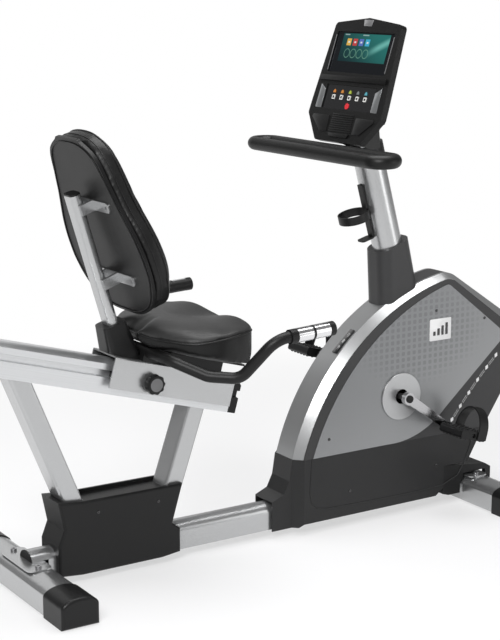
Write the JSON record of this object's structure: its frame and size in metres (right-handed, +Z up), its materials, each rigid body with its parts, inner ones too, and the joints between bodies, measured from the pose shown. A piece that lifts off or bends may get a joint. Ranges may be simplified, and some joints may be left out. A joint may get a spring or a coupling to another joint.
{
  "type": "recumbent exercise bike",
  "caption": "Recumbent exercise bike: sliding bucket-style seat on a sloping rail, enclosed crank and flywheel housing, console mast with hand loop.",
  "frame": {"origin": "on the floor under the middle of the bike's overall box", "axes": "+X the way the rider faces, +Y to the rider's left, +Z up"},
  "size_m": [1.65, 0.705, 1.3414],
  "materials": {
    "silver_paint": "satin metallic",
    "aluminium": "satin anodised",
    "dark_plastic": "fine texture",
    "black_plastic": "fine texture",
    "black_gloss": "gloss",
    "silver_plastic": "satin metallic",
    "vinyl": "soft grained",
    "foam": "matt",
    "rubber": "matt",
    "chrome": "polished",
    "steel": "plain",
    "black_steel": "satin",
    "cast_iron": "machined",
    "display": "gloss",
    "key_white": "satin",
    "key_red": "satin"
  },
  "bodies": {
    "frame": {"base_tube": "silver_paint", "stabilisers": "silver_paint", "stabiliser_caps": "dark_plastic", "end_plugs": "black_plastic", "frame_fasteners": "steel", "seat_legs": "silver_paint", "pedestal_cover_left": "dark_plastic", "pedestal_cover_right": "dark_plastic", "seat_rail": "aluminium", "lower_frame": "black_steel", "console_mast": "silver_paint", "mast_collar": "dark_plastic", "housing_shell_left": "dark_plastic", "housing_shell_right": "dark_plastic", "side_panels": "silver_plastic", "bright_trim": "silver_plastic", "top_cover": "dark_plastic", "lower_cover_left": "dark_plastic", "lower_cover_right": "dark_plastic", "front_base_cover": "black_plastic", "crank_discs": "silver_plastic", "crank_bearings": "steel", "drive_belt": "rubber", "brake_magnet": "black_steel", "bottle_cage": "black_plastic", "handlebar": "foam", "mast_brackets": "silver_paint", "console_back": "black_plastic", "console_bezel": "black_plastic", "screen": "display", "keypad": "black_gloss"},
    "crank": {"crank_axle": "steel", "crank_arms": "chrome", "drive_pulley": "black_plastic"},
    "pedal_right": {"pedal_right": "black_plastic", "strap_right": "rubber"},
    "pedal_left": {"pedal_left": "black_plastic", "strap_left": "rubber"},
    "flywheel": {"flywheel": "cast_iron"},
    "seat": {"seat_carriage": "silver_paint", "glide_blocks": "black_plastic", "seat_frame": "black_steel", "handle_tubes": "foam", "handle_grips": "black_plastic", "pulse_sensors": "chrome", "seat_cushion": "vinyl", "backrest_post": "silver_paint", "post_boot": "dark_plastic", "backrest_cushion": "vinyl", "backrest_board": "black_plastic", "backrest_brackets": "silver_paint"},
    "seat_knob": {"seat_knob": "black_plastic"},
    "transport_wheel_left": {"transport_wheel_left": "rubber"},
    "transport_wheel_right": {"transport_wheel_right": "rubber"},
    "key_1": {"key_1": "key_white"},
    "key_2": {"key_2": "key_white"},
    "key_3": {"key_3": "key_white"},
    "key_4": {"key_4": "key_white"},
    "key_5": {"key_5": "key_white"},
    "stop_key": {"stop_key": "key_red"}
  },
  "joints": [
    {"name": "crank_spin", "type": "hinge", "parent": "frame", "child": "crank", "pos_m": [0.401, 0, 0.337], "axis": [0, 1, 0], "continuous": true},
    {"name": "pedal_right_spin", "type": "hinge", "parent": "crank", "child": "pedal_right", "pos_m": [0.5394, -0.164, 0.23828], "axis": [0, 1, 0], "continuous": true},
    {"name": "pedal_left_spin", "type": "hinge", "parent": "crank", "child": "pedal_left", "pos_m": [0.2626, 0.164, 0.43572], "axis": [0, 1, 0], "continuous": true},
    {"name": "flywheel_spin", "type": "hinge", "parent": "frame", "child": "flywheel", "pos_m": [0.672, 0, 0.372], "axis": [0, 1, 0], "continuous": true},
    {"name": "seat_slide", "type": "slide", "parent": "frame", "child": "seat", "axis": [-0.9627, 0, 0.2706], "range_m": [0, 0.33]},
    {"name": "seat_knob_turn", "type": "hinge", "parent": "seat", "child": "seat_knob", "pos_m": [-0.36323, -0.06, 0.47793], "axis": [0, -1, 0], "range_deg": [0, 540]},
    {"name": "wheel_left_spin", "type": "hinge", "parent": "frame", "child": "transport_wheel_left", "pos_m": [0.749, 0.254, 0.029], "axis": [0, 1, 0], "continuous": true},
    {"name": "wheel_right_spin", "type": "hinge", "parent": "frame", "child": "transport_wheel_right", "pos_m": [0.749, -0.254, 0.029], "axis": [0, 1, 0], "continuous": true},
    {"name": "key_1_press", "type": "slide", "parent": "frame", "child": "key_1", "axis": [0.95, 0, -0.3123], "range_m": [0, 0.0012], "stiffness_N_per_m": 600, "springref_m": -0.0003},
    {"name": "key_2_press", "type": "slide", "parent": "frame", "child": "key_2", "axis": [0.95, 0, -0.3123], "range_m": [0, 0.0012], "stiffness_N_per_m": 600, "springref_m": -0.0003},
    {"name": "key_3_press", "type": "slide", "parent": "frame", "child": "key_3", "axis": [0.95, 0, -0.3123], "range_m": [0, 0.0012], "stiffness_N_per_m": 600, "springref_m": -0.0003},
    {"name": "key_4_press", "type": "slide", "parent": "frame", "child": "key_4", "axis": [0.95, 0, -0.3123], "range_m": [0, 0.0012], "stiffness_N_per_m": 600, "springref_m": -0.0003},
    {"name": "key_5_press", "type": "slide", "parent": "frame", "child": "key_5", "axis": [0.95, 0, -0.3123], "range_m": [0, 0.0012], "stiffness_N_per_m": 600, "springref_m": -0.0003},
    {"name": "stop_key_press", "type": "slide", "parent": "frame", "child": "stop_key", "axis": [0.95, 0, -0.3123], "range_m": [0, 0.0012], "stiffness_N_per_m": 600, "springref_m": -0.0003}
  ],
  "couplings": [
    {"joint": "crank_spin", "follows": "flywheel_spin", "ratio": 0.17857}
  ]
}
